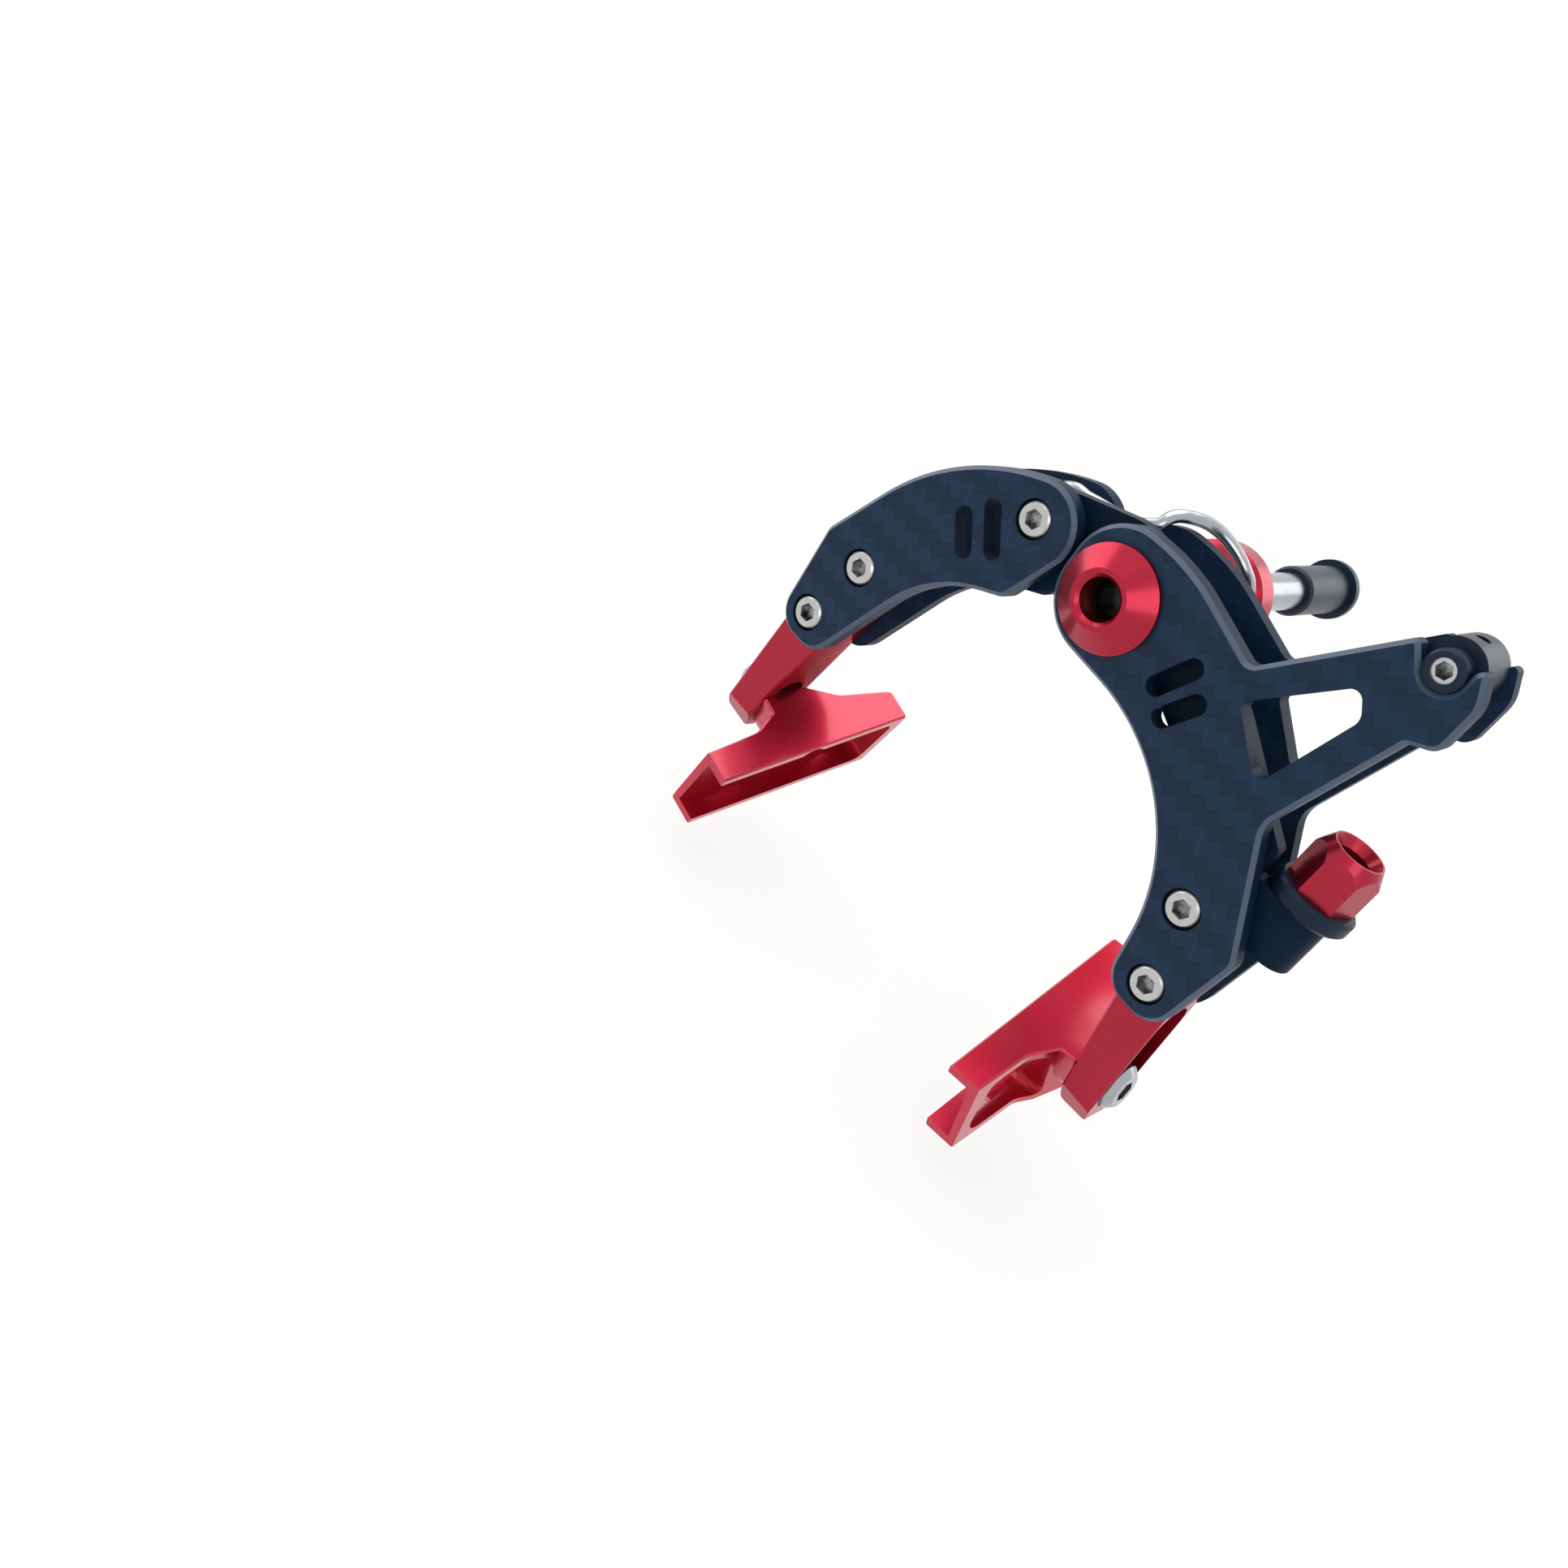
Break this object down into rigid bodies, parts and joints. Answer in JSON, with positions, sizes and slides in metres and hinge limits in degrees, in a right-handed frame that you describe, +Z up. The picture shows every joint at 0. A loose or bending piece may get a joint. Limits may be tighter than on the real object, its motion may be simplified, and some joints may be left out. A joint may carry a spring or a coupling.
{
  "type": "bicycle caliper brake",
  "caption": "Side-pull rim brake caliper: arched carbon plate arms on a centre stud, anodised pad brackets and channel shoes, cable tower, barrel adjuster and coiled return spring.",
  "frame": {"origin": "on the centre stud axis at the rear face of the spool spacer, where the brake seats on the fork", "axes": "+Y to the rear along the stud, +Z up, +X to the right seen from the front"},
  "size_m": [0.0957, 0.0871, 0.0988],
  "materials": {
    "carbon": "matte woven carbon plate",
    "red_anodised": "satin red anodised",
    "black_anodised": "satin black anodised",
    "steel": "bright turned",
    "brass": "plain turned"
  },
  "bodies": {
    "centre": {"pivot_stud": "steel", "cap_nut": "red_anodised", "pivot_bush": "brass", "thrust_washers": "steel", "pivot_spacer": "steel", "spool_spacer": "red_anodised", "sleeve_nut": "black_anodised", "return_spring": "steel"},
    "main_arm": {"main_front_plate": "carbon", "main_rear_plate": "carbon", "main_bracket": "red_anodised", "main_screws": "steel", "main_shoe_bolt": "steel", "main_shoe_washer": "steel"},
    "side_arm": {"side_front_plate": "carbon", "side_rear_plate": "carbon", "inner_link": "black_anodised", "side_bracket": "red_anodised", "side_screws": "steel", "link_bolt": "steel", "link_shim": "steel", "link_sleeve": "steel", "link_nut": "steel", "side_shoe_bolt": "steel", "side_shoe_washer": "steel"},
    "anchor": {"cable_anchor": "black_anodised", "anchor_screw": "steel"},
    "adjuster": {"adjuster_barrel": "red_anodised"},
    "ring": {"lock_ring": "black_anodised"},
    "shoe_main": {"main_shoe": "red_anodised"},
    "shoe_side": {"side_shoe": "red_anodised"}
  },
  "joints": [
    {"name": "main_arm_pivot", "type": "hinge", "parent": "centre", "child": "main_arm", "pos_m": [0, 0, 0], "axis": [0, 1, 0], "range_deg": [0, 6], "stiffness_Nm_per_rad": 1, "springref_deg": -17.19, "deforming": ["return_spring"]},
    {"name": "side_arm_pivot", "type": "hinge", "parent": "centre", "child": "side_arm", "pos_m": [0, 0, 0], "axis": [0, 1, 0], "range_deg": [-6, 0], "stiffness_Nm_per_rad": 1, "springref_deg": 17.19, "deforming": ["return_spring"]},
    {"name": "cable_anchor_turn", "type": "hinge", "parent": "main_arm", "child": "anchor", "pos_m": [0.038, -0.02705, 0.0217], "axis": [0, 1, 0], "range_deg": [-20, 20]},
    {"name": "adjuster_turn", "type": "hinge", "parent": "side_arm", "child": "adjuster", "pos_m": [0.0445, -0.02693, -0.0182], "axis": [0, 0, 1], "continuous": true},
    {"name": "lock_ring_turn", "type": "hinge", "parent": "adjuster", "child": "ring", "pos_m": [0.0445, -0.02693, -0.01265], "axis": [0, 0, 1], "continuous": true},
    {"name": "main_shoe_turn", "type": "hinge", "parent": "main_arm", "child": "shoe_main", "pos_m": [0.03782, -0.02705, -0.0546], "axis": [-0.9816, 0, -0.1908], "range_deg": [-20, 25]},
    {"name": "side_shoe_turn", "type": "hinge", "parent": "side_arm", "child": "shoe_side", "pos_m": [-0.03782, -0.02705, -0.0546], "axis": [0.9816, 0, -0.1908], "range_deg": [-25, 20]}
  ]
}
